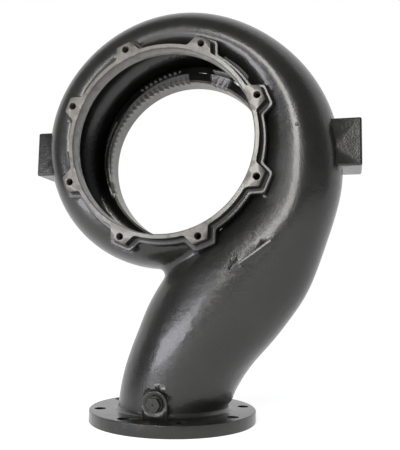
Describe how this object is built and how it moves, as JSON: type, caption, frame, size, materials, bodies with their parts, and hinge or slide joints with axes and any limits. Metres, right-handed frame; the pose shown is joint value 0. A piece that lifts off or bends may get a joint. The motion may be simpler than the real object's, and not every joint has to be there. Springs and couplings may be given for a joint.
{
  "type": "volute pump casing",
  "caption": "Cast iron volute casing for a large centrifugal pump, with an open impeller chamber, ringed bolting lugs and a swan-neck discharge standing on a round flange.",
  "frame": {"origin": "centre of the discharge flange's face, on which the casing stands", "axes": "+Z from the discharge flange towards the pump axis; the pump axis runs along Y at z = 0.555 m, with the motor side facing -Y and the suction side facing +Y; the neck leans towards +X above the flange"},
  "size_m": [0.688, 0.3398, 0.8552],
  "materials": {
    "painted_casting": "semi-gloss black paint over a lightly textured casting, machined faces left greyer",
    "plug": "painted over with the casing",
    "washer": "painted over with the casing"
  },
  "bodies": {
    "root": {"casing": "painted_casting", "gauge_port_plug": "plug", "plug_sealing_washer": "washer"}
  },
  "joints": []
}
